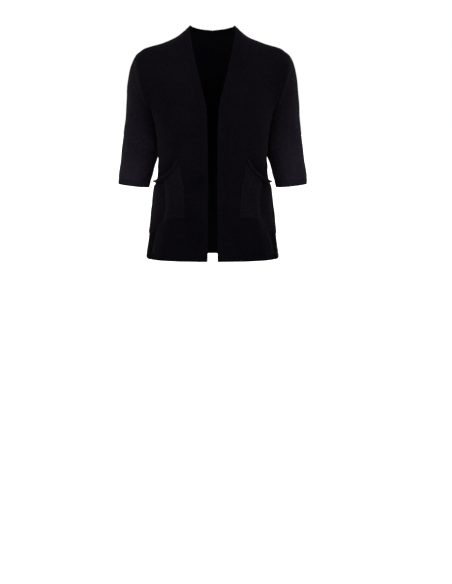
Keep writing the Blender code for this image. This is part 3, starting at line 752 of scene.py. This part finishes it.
def pocket_cloth(columns, rows, roll_rows):
    """The rolled edge of the mouth, then the pocket down to its bottom seam."""
    def pocket_point(share, down):
        across, drop = pocket_place(share, down)
        turn = panel_turn(across, drop)
        slack = MOUTH_OPEN * math.exp(-down / MOUTH_REACH) + 4 * BAG_DEPTH * down * (1 - down)
        slack -= UNDERCUT * math.exp(-((down - UNDERCUT_AT) / UNDERCUT_REACH) ** 2)
        lift = (WALL + sewn_thickness(share, down)) / 2 + POCKET_GAP
        lift += slack * math.sin(math.pi * share)
        return body_point(turn, drop, -1) + outwards(turn, drop) * lift

    points, places = [], []
    sides = with_seams(shares(columns, COLUMN_CROWDING))
    for row in range(roll_rows, 0, -1):
        angle = ROLL_TURN * row / roll_rows
        points.append([])
        places.append([pocket_place(share, 0) for share in sides])
        for share in sides:
            out = outwards(panel_turn(*pocket_place(share, 0)), pocket_place(share, 0)[1])
            before, after = max(share - NEARBY_SHARE, 0), min(share + NEARBY_SHARE, 1)
            up = out.cross(pocket_point(after, 0) - pocket_point(before, 0)).normalized()
            start = mix(ROLL_START, 1, float(fade(share, ROLL_RISE)))
            radius = ROLL_RADIUS * (1 - ROLL_TAPER * share ** 2) * start
            curl = radius * (out * (1 - math.cos(angle)) + up * math.sin(angle))
            points[-1].append(pocket_point(share, 0) + curl)
    thickness = [[sewn_thickness(share, 0) for share in sides]] * roll_rows
    for down in with_seams([share ** MOUTH_CROWDING for share in shares(rows)]):
        points.append([pocket_point(share, down) for share in sides])
        places.append([pocket_place(share, down) for share in sides])
        thickness.append([sewn_thickness(share, down) for share in sides])
    cloth = Cloth(points, places, -1)
    cloth.thickness = np.array(thickness)
    return cloth


# ---------------------------------------------------------------- relief


def smooth_path(path):
    """More points on the smooth curve through a crease's points."""
    keys = list(range(len(path)))
    vectors = [Vector(point) for point in path]
    return [through(keys, vectors, keys[-1] * i / PATH_STEPS) for i in range(PATH_STEPS + 1)]


def crease_relief(creases, places, scale, vary):
    """The height of all the creases at each place. scale turns places into metres, and vary is
    how much weaker or stronger each crease is on this side of the garment."""
    across, drop = places[..., 0] * scale[0], places[..., 1] * scale[1]
    total = np.zeros(across.shape)
    for index, crease in enumerate(creases):
        path = [(point[0] * scale[0], point[1] * scale[1]) for point in smooth_path(crease.path)]
        nearest = np.full(across.shape, np.inf)
        share_at = np.zeros(across.shape)
        for i, (low, high) in enumerate(zip(path, path[1:])):
            step = high[0] - low[0], high[1] - low[1]
            rise = across - low[0], drop - low[1]
            square = step[0] ** 2 + step[1] ** 2
            share = np.clip((rise[0] * step[0] + rise[1] * step[1]) / square, 0, 1)
            gap = np.hypot(rise[0] - share * step[0], rise[1] - share * step[1])
            closer = gap < nearest
            nearest = np.where(closer, gap, nearest)
            share_at = np.where(closer, (i + share) / (len(path) - 1), share_at)
        strength = mix(crease.start, crease.end, share_at)
        profile = np.exp(-(nearest / (crease.width / 1000)) ** 2)
        total += crease.height / 1000 * vary[index % len(vary)] * strength * profile
    return total


def fade(distance, reach):
    """0 at a seam, rising smoothly to 1 at the reach from it."""
    share = np.clip(distance / reach, 0, 1)
    return share * share * (3 - 2 * share)


def edge_gaps(cloth):
    """How far each point lies from each side of its grid."""
    across, down = cloth.lengths(1), cloth.lengths(0)
    return {"start": across, "end": across[:, -1:] - across, "top": down, "bottom": down[-1:, :] - down}


def seam_dip(cloth):
    """A fine groove along each seam."""
    gaps = edge_gaps(cloth)
    dip = np.zeros(cloth.relief.shape)
    for side in cloth.seams:
        dip = np.maximum(dip, np.exp(-(gaps[side] / SEAM_REACH) ** 2))
    return -SEAM_DIP * dip


def ribs(cloth, lengths, pitch, sides):
    """Rounded ribs with narrow valleys between them, which fade out beside the named sides."""
    gaps = edge_gaps(cloth)
    hold = np.min([fade(gaps[side], RIB_FADE) for side in sides], axis=0)
    height = np.abs(np.sin(math.pi * lengths / pitch)) ** RIB_ROUNDNESS - RIB_MIDDLE
    return RIB_DEPTH * hold * height


def hollow_depths(downs, name):
    """A column of the hollow's table at each place along the armhole, in metres."""
    return np.array([max(column(ARMHOLE_HOLLOW, "down", name, down), 0) for down in downs]) / 1000


def panel_hollow(cloth, face, sides):
    """The fold along the armhole, beside the named sides of a panel."""
    gaps = edge_gaps(cloth)
    depths = hollow_depths(DOWN, face) + hollow_depths(DOWN, "fold")
    return sum(-depths[:, None] * np.exp(-(gaps[side] / PANEL_REACH) ** 2) for side in sides)


def sleeve_hollow(cloth):
    """The sleeve's side of it, round its top: a wide hollow with the fold at its bottom."""
    gaps = edge_gaps(cloth)["top"]
    angles = cloth.places[0, :, 0]
    front, back, folds = (hollow_depths(np.abs(angles) / math.pi, name)
                          for name in ("front", "back", "fold"))
    wide = np.where(angles > 0, front, back) * np.exp(-(gaps / HOLLOW_REACH) ** 2)
    return -wide - folds * np.exp(-(gaps / FOLD_REACH) ** 2)


def unevenness(points):
    """Slow waves through space, so that pieces still meet at their seams."""
    x, y, z = points[..., 0], points[..., 1], points[..., 2]
    turns = [wave.x * x + wave.y * y + wave.z * z for wave in WAVES]
    return sum(wave.height / 1000 * np.sin(2 * math.pi * turn + wave.start)
               for wave, turn in zip(WAVES, turns))


# ---------------------------------------------------------------- shells


def boundary(cloth):
    """The places round a grid's open edges, as loops of (row, column, joint). joint is None on a
    free edge, and on a seam it says whether the rim stands out there or sinks in."""
    rows, cols = cloth.relief.shape

    def joint(side, index):
        value = cloth.seams.get(side)
        return value[index] if isinstance(value, list) else value

    if cloth.closed:
        top = [(0, col, joint("top", col)) for col in range(cols - 1)]
        bottom = [(rows - 1, col, joint("bottom", col)) for col in range(cols - 2, -1, -1)]
        return [top, bottom]
    loop = [(0, col, joint("top", col)) for col in range(cols)]
    loop += [(row, cols - 1, joint("end", row)) for row in range(1, rows)]
    loop += [(rows - 1, col, joint("bottom", col)) for col in range(cols - 2, -1, -1)]
    loop += [(row, 0, joint("start", row)) for row in range(rows - 2, 0, -1)]
    return [loop]


def shared_normals(cloths, places):
    """Unit normals of all the cloths. Points at one place, in whichever piece, get one normal:
    the body and the arm each count once in it."""
    normals = {name: cloth.normals() for name, cloth in cloths.items()}
    entries = [(name, row, col) for name, cloth in cloths.items() if cloth.group
               for loop in boundary(cloth) for row, col, _ in loop]
    tree = KDTree(len(entries))
    for index, (name, row, col) in enumerate(entries):
        tree.insert(places[name][row, col], index)
    tree.balance()
    result = {name: value.copy() for name, value in normals.items()}
    for name, row, col in entries:
        groups = {}
        for _, other, _ in tree.find_range(places[name][row, col], SAME_PLACE):
            near, near_row, near_col = entries[other]
            group = cloths[near].group
            groups[group] = groups.get(group, 0) + normals[near][near_row, near_col]
        total = sum(value / np.linalg.norm(value) for value in groups.values())
        result[name][row, col] = total / np.linalg.norm(total)
    for name, cloth in cloths.items():
        if cloth.closed:
            result[name][:, -1] = result[name][:, 0]
    return result


def drawn_back(cloth):
    """The points, with each seam edge drawn back by half the seam gap."""
    points = cloth.points.copy()
    edges = {"top": (np.s_[0], np.s_[1]), "bottom": (np.s_[-1], np.s_[-2]),
             "start": (np.s_[:, 0], np.s_[:, 1]), "end": (np.s_[:, -1], np.s_[:, -2])}
    for side in cloth.seams:
        edge, inner = edges[side]
        way = cloth.points[inner] - cloth.points[edge]
        length = np.linalg.norm(way, axis=1)[:, None]
        points[edge] += way / length * SEAM_GAP / 2
    return points


def shell(name, cloth, normals, material):
    """A closed shell: the grid moved half its thickness out and in, with rounded free edges."""
    rows, cols = cloth.relief.shape
    points = drawn_back(cloth)
    offset = normals * cloth.thickness[..., None] / 2
    width = cols - 1 if cloth.closed else cols
    outer, inner = (points + offset)[:, :width], (points - offset)[:, :width]
    vertices = [outer.reshape(-1, 3), inner.reshape(-1, 3)]
    texture = cloth.texture()

    def at(row, col, skin):
        return skin * rows * width + row * width + col % width

    faces, corners = [], []
    for row in range(rows - 1):
        for col in range(cols - 1):
            cell = [(row, col), (row, col + 1), (row + 1, col + 1), (row + 1, col)]
            if cloth.sign < 0:
                cell.reverse()
            faces.append([at(*place, 0) for place in cell])
            faces.append([at(*place, 1) for place in reversed(cell)])
            corners += cell + cell[::-1]

    count = 2 * rows * width
    for loop in boundary(cloth):
        size = len(loop)
        rim = []
        for row, col, joint in loop:
            inner_row = min(max(row, 1), rows - 2)
            inner_col = col if cloth.closed else min(max(col, 1), cols - 2)
            way = points[row, col] - points[inner_row, inner_col]
            reach = cloth.thickness[row, col] / 2 if joint is None else joint * SEAM_TONGUE
            way *= reach / max(np.linalg.norm(way), SAME_PLACE)
            for angle in RIM_ANGLES:
                rim.append(points[row, col] + offset[row, col] * math.cos(angle)
                           + way * math.sin(angle))
        steps = len(RIM_ANGLES)
        for k, (row, col, _) in enumerate(loop):
            after = (k + 1) % size
            next_row, next_col, _ = loop[after]
            if cloth.closed:
                next_col = col + (1 if row == 0 else -1)
            this = [at(row, col, 0)] + [count + k * steps + i for i in range(steps)] + [at(row, col, 1)]
            that = [at(next_row, next_col, 0)] + [count + after * steps + i for i in range(steps)]
            that.append(at(next_row, next_col, 1))
            uv_col, uv_next = col % cols, next_col % cols
            for i in range(steps + 1):
                face = [that[i], this[i], this[i + 1], that[i + 1]]
                cell = [(next_row, uv_next), (row, uv_col), (row, uv_col), (next_row, uv_next)]
                if cloth.sign < 0:
                    face.reverse()
                    cell.reverse()
                faces.append(face)
                corners += cell
        vertices.append(np.array(rim))
        count += size * steps

    mesh = bpy.data.meshes.new(name)
    mesh.from_pydata(np.concatenate(vertices).tolist(), [], faces)
    layer = mesh.uv_layers.new(name="cloth")
    places = np.array(corners)
    layer.data.foreach_set("uv", texture[places[:, 0], places[:, 1]].astype(np.float32).ravel())
    mesh.shade_smooth()
    mesh.materials.append(material)
    piece = bpy.data.objects.new(name, mesh)
    bpy.context.scene.collection.objects.link(piece)
    return piece


# ---------------------------------------------------------------- materials


def node(tree, kind, inputs=None, **settings):
    """A new shader node. inputs maps its sockets to numbers or to other nodes' sockets."""
    made = tree.nodes.new(kind)
    for setting, value in settings.items():
        setattr(made, setting, value)
    for name, value in (inputs or {}).items():
        socket = made.inputs[name]
        if isinstance(value, bpy.types.NodeSocket):
            tree.links.new(value, socket)
        else:
            socket.default_value = value
    return made


def maths(tree, operation, *values):
    made = node(tree, "ShaderNodeMath", dict(enumerate(values)), operation=operation)
    return made.outputs[0]


def noise_of(tree, spot, noise):
    inputs = {"Vector": spot, "Scale": noise.scale, "Detail": noise.detail,
              "Roughness": noise.roughness}
    return node(tree, "ShaderNodeTexNoise", inputs).outputs[0]


def bump_of(tree, bump, **inputs):
    inputs.update(Strength=bump.strength, Distance=bump.height)
    return node(tree, "ShaderNodeBump", inputs).outputs[0]


def knit(kind):
    """A knit's material: columns of slanted loops, on the cloth's own metres, with painted shade and
    painted light laid into its colour.
    """
    material = bpy.data.materials.new(kind.name)
    material.use_nodes = True
    tree = material.node_tree
    shader = tree.nodes["Principled BSDF"]
    cloth = node(tree, "ShaderNodeUVMap", uv_map="cloth").outputs[0]
    place = node(tree, "ShaderNodeSeparateXYZ", {0: cloth})
    spot = node(tree, "ShaderNodeTexCoord").outputs["Object"]

    # Stitches are a little uneven, as they are in a soft yarn.
    straying = maths(tree, "SUBTRACT", noise_of(tree, spot, STRAYING), 0.5)
    drift = maths(tree, "MULTIPLY", straying, STRAY_REACH)
    column_at = maths(tree, "ADD", maths(tree, "DIVIDE", place.outputs["X"], kind.wale), drift)
    beside = maths(tree, "ABSOLUTE", maths(tree, "SUBTRACT", maths(tree, "FRACT", column_at), 0.5))
    slanted = maths(tree, "MULTIPLY", beside, LOOP_SLANT)
    row_at = maths(tree, "ADD", maths(tree, "DIVIDE", place.outputs["Y"], kind.course), slanted)
    step = maths(tree, "ABSOLUTE", maths(tree, "SUBTRACT", maths(tree, "FRACT", row_at), 0.5))
    leg = maths(tree, "SINE", maths(tree, "MULTIPLY", beside, 2 * math.pi))
    loop = maths(tree, "SUBTRACT", 1.0, maths(tree, "MULTIPLY", step, LOOP_DIP))
    height = maths(tree, "MULTIPLY", leg, loop)

    # The lines between columns stand higher and lower in turn, and the yarn's own tone varies. The
    #     # higher lines are painted lighter and the lower ones darker, as painted highlight and shade.
    pair = maths(tree, "COSINE", maths(tree, "MULTIPLY", column_at, math.pi))
    height = maths(tree, "MULTIPLY_ADD", pair, kind.ribbing, height)
    mottled = TONE_START
    for noise in (YARN, MOTTLING, FUZZ):
        value = noise_of(tree, spot, noise)
        mottled = maths(tree, "MULTIPLY_ADD", value, noise.tone, mottled)
    fuzz = value
    # Painted shade and highlight: the stitches' relief darkens the colour between loops and lightens
    # their tops.
    tone_and_painted_relief = maths(tree, "MULTIPLY_ADD", height, LOOP_PAINTED_HIGHLIGHT, mottled)
    ramp = node(tree, "ShaderNodeMix", {"Factor": tone_and_painted_relief}, data_type="RGBA", clamp_factor=True)
    colours = {socket.name: socket for socket in ramp.inputs if socket.type == "RGBA"}
    colours["A"].default_value = (*YARN_DARK_AND_STITCH_SHADE, 1)
    colours["B"].default_value = (*YARN_LIGHT_AND_LOOP_HIGHLIGHT, 1)
    yarn_colour = next(socket for socket in ramp.outputs if socket.type == "RGBA")
    # Painted shade and light along the cloth: darker down the body, band and hem, darker beside the
    # armhole and lighter towards the cuff on a sleeve, lighter on the pocket.
    painted_light_and_shade = node(tree, "ShaderNodeMapRange", {
        "Value": place.outputs["Y"], "From Min": 0.0, "From Max": -kind.reach,
        "To Min": kind.start, "To Max": kind.end})
    colour_with_painted_light = node(tree, "ShaderNodeVectorMath", {0: yarn_colour, "Scale": painted_light_and_shade.outputs[0]},
                        operation="SCALE")
    tree.links.new(colour_with_painted_light.outputs[0], shader.inputs["Base Color"])

    rough = maths(tree, "MULTIPLY_ADD", fuzz, FUZZ_ROUGHNESS, ROUGHNESS)
    tree.links.new(rough, shader.inputs["Roughness"])
    stitches = bump_of(tree, STITCH_BUMP, Height=height)
    tree.links.new(bump_of(tree, FUZZ_BUMP, Height=fuzz, Normal=stitches), shader.inputs["Normal"])
    shader.inputs["Specular IOR Level"].default_value = SPECULAR
    shader.inputs["Sheen Weight"].default_value = SHEEN
    shader.inputs["Sheen Roughness"].default_value = SHEEN_ROUGHNESS
    shader.inputs["Sheen Tint"].default_value = (*SHEEN_TINT, 1)
    return material


# ---------------------------------------------------------------- the pieces


def make_cloths():
    """Every piece's grid, by name."""
    front, back = front_cloth(), back_cloth()
    hem_front = hem_cloth((0, 1), -1, HEM_COLUMNS)
    hem_back = hem_cloth((-3, 1), 1, 2 * HEM_COLUMNS)
    band = band_cloth(BAND_COLUMNS, BAND_STEP)
    sleeve_rows = with_seams([share ** ROW_CROWDING for share in shares(SLEEVE_ROWS)])
    sleeve = arm_cloth(0, SLEEVE_END, sleeve_rows, ring(ARMHOLE_DOWN))
    cuff = arm_cloth(SLEEVE_END, CUFF_END, shares(CUFF_ROWS), ring(shares(CUFF_COLUMNS // 2)))
    pocket = pocket_cloth(POCKET_COLUMNS, POCKET_ROWS, ROLL_ROWS)
    sleeve.seams, cuff.seams = {"top": 1, "bottom": -1}, {"top": 1}
    pocket.group = ""
    cloths = {"back": back, "hem_back": hem_back}
    pieces = {"front": front, "hem_front": hem_front, "band": band,
              "sleeve": sleeve, "cuff": cuff, "pocket": pocket}
    for name, cloth in pieces.items():
        cloths[f"{name}_left"] = cloth
        cloths[f"{name}_right"] = cloth.mirrored()
    cloths["band_right"].seams["bottom"] = -1
    return cloths


def add_creases(name, cloth):
    """A piece's own creases, the same on both pieces that meet at a seam."""
    side = "right" if name.endswith("right") else "left"
    if name.startswith(("sleeve", "cuff")):
        hold = fade((math.pi - np.abs(cloth.places[..., 0])) * ARM_SCALE[0], SIDE_HOLD)
        hold = hold * fade(cloth.places[..., 1] * ARM_SCALE[1], SIDE_HOLD)
        cloth.relief += hold * crease_relief(SLEEVE_CREASES, cloth.places, ARM_SCALE, SIDES[side])
    elif name in ("back", "hem_back"):
        mirrored = cloth.places * (-1, 1) - (2, 0)
        creases = crease_relief(BACK_CREASES, cloth.places, PANEL_SCALE, SIDES["left"])
        creases += crease_relief(BACK_CREASES, mirrored, PANEL_SCALE, SIDES["right"])
        cloth.relief += creases * fade((2 - np.abs(cloth.places[..., 0] + 1)) * PANEL_SCALE[0], SIDE_HOLD)
    else:
        creases = crease_relief(FRONT_CREASES, cloth.places, PANEL_SCALE, SIDES[side])
        cloth.relief += creases * fade((1 - cloth.places[..., 0]) * PANEL_SCALE[0], SIDE_HOLD)


def add_relief(name, cloth):
    """Creases, the hollow of the armhole, ribs and seams."""
    add_creases(name, cloth)
    cloth.relief += unevenness(cloth.points)
    if name.startswith("front"):
        cloth.relief += panel_hollow(cloth, "front", ["end"])
    if name == "back":
        cloth.relief += panel_hollow(cloth, "back", ["start", "end"])
    if name.startswith("sleeve"):
        cloth.relief += sleeve_hollow(cloth)
    across = cloth.lengths(1)
    if name.startswith("hem"):
        cloth.relief += ribs(cloth, across, RIB_PITCH, ("top", "start", "end"))
    if name.startswith("band"):
        cloth.relief += ribs(cloth, across, BAND_WIDTH / BAND_RIBS, ("start", "end", "bottom"))
    if name.startswith("cuff"):
        round_it = across[:, -1:]
        cloth.relief += ribs(cloth, across, round_it / np.round(round_it.mean() / RIB_PITCH), ("top",))
    cloth.relief += seam_dip(cloth)


def main():
    cloths = make_cloths()
    for name, cloth in cloths.items():
        add_relief(name, cloth)
    places = {name: cloth.points.copy() for name, cloth in cloths.items()}
    normals = shared_normals(cloths, places)
    for name, cloth in cloths.items():
        cloth.points = cloth.points + normals[name] * cloth.relief[..., None]
    normals = shared_normals(cloths, places)
    materials = {key: knit(kind) for key, kind in KNITS.items()}
    for name, cloth in cloths.items():
        kind = name.split("_")[0]
        kind = kind if kind in KNITS else "body"
        piece = shell(f"{name}_cloth", cloth, normals[name], materials[kind])
        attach(piece, "root")
        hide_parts(name)


def studio():
    """A pale floor, soft light from all round and from both sides, and the camera."""
    floor_mesh = bpy.data.meshes.new("floor")
    corners = [(x * FLOOR_REACH, y * FLOOR_REACH, FLOOR) for x, y in ((-1, -1), (1, -1), (1, 1), (-1, 1))]
    floor_mesh.from_pydata(corners, [], [(0, 1, 2, 3)])
    floor = bpy.data.objects.new("floor", floor_mesh)
    pale = bpy.data.materials.new("pale_floor")
    pale.use_nodes = True
    shader = pale.node_tree.nodes["Principled BSDF"]
    shader.inputs["Base Color"].default_value = (FLOOR_TONE, FLOOR_TONE, FLOOR_TONE, 1)
    shader.inputs["Roughness"].default_value = 1
    shader.inputs["Emission Color"].default_value = (1, 1, 1, 1)
    shader.inputs["Emission Strength"].default_value = FLOOR_GLOW
    floor_mesh.materials.append(pale)
    bpy.context.scene.collection.objects.link(floor)

    world = bpy.data.worlds.new("studio")
    world.use_nodes = True
    world.node_tree.nodes["Background"].inputs["Color"].default_value = (1, 1, 1, 1)
    world.node_tree.nodes["Background"].inputs["Strength"].default_value = 1
    bpy.context.scene.world = world
    bpy.context.scene.view_settings.view_transform = "Standard"

    for light in LIGHTS:
        data = bpy.data.lights.new(light.name, "SUN")
        data.energy, data.angle = light.strength, math.radians(SUN_SIZE)
        lamp = bpy.data.objects.new(light.name, data)
        azimuth, height = math.radians(light.azimuth), math.radians(light.height)
        place = Vector((math.sin(azimuth) * math.cos(height), -math.cos(azimuth) * math.cos(height),
                        math.sin(height)))
        lamp.location = LAMP_DISTANCE * place
        lamp.rotation_euler = place.to_track_quat("Z", "Y").to_euler()
        bpy.context.scene.collection.objects.link(lamp)

    lens = bpy.data.cameras.new("camera")
    lens.lens, lens.sensor_width = LENS, SENSOR_WIDTH
    lens.shift_x = LENS_SHIFT
    camera = bpy.data.objects.new("camera", lens)
    camera.location = (0, -CAMERA_DISTANCE, CAMERA_HEIGHT)
    camera.rotation_euler = (math.radians(90 - CAMERA_TILT), 0, 0)
    bpy.context.scene.collection.objects.link(camera)
    bpy.context.scene.camera = camera


main()
studio()
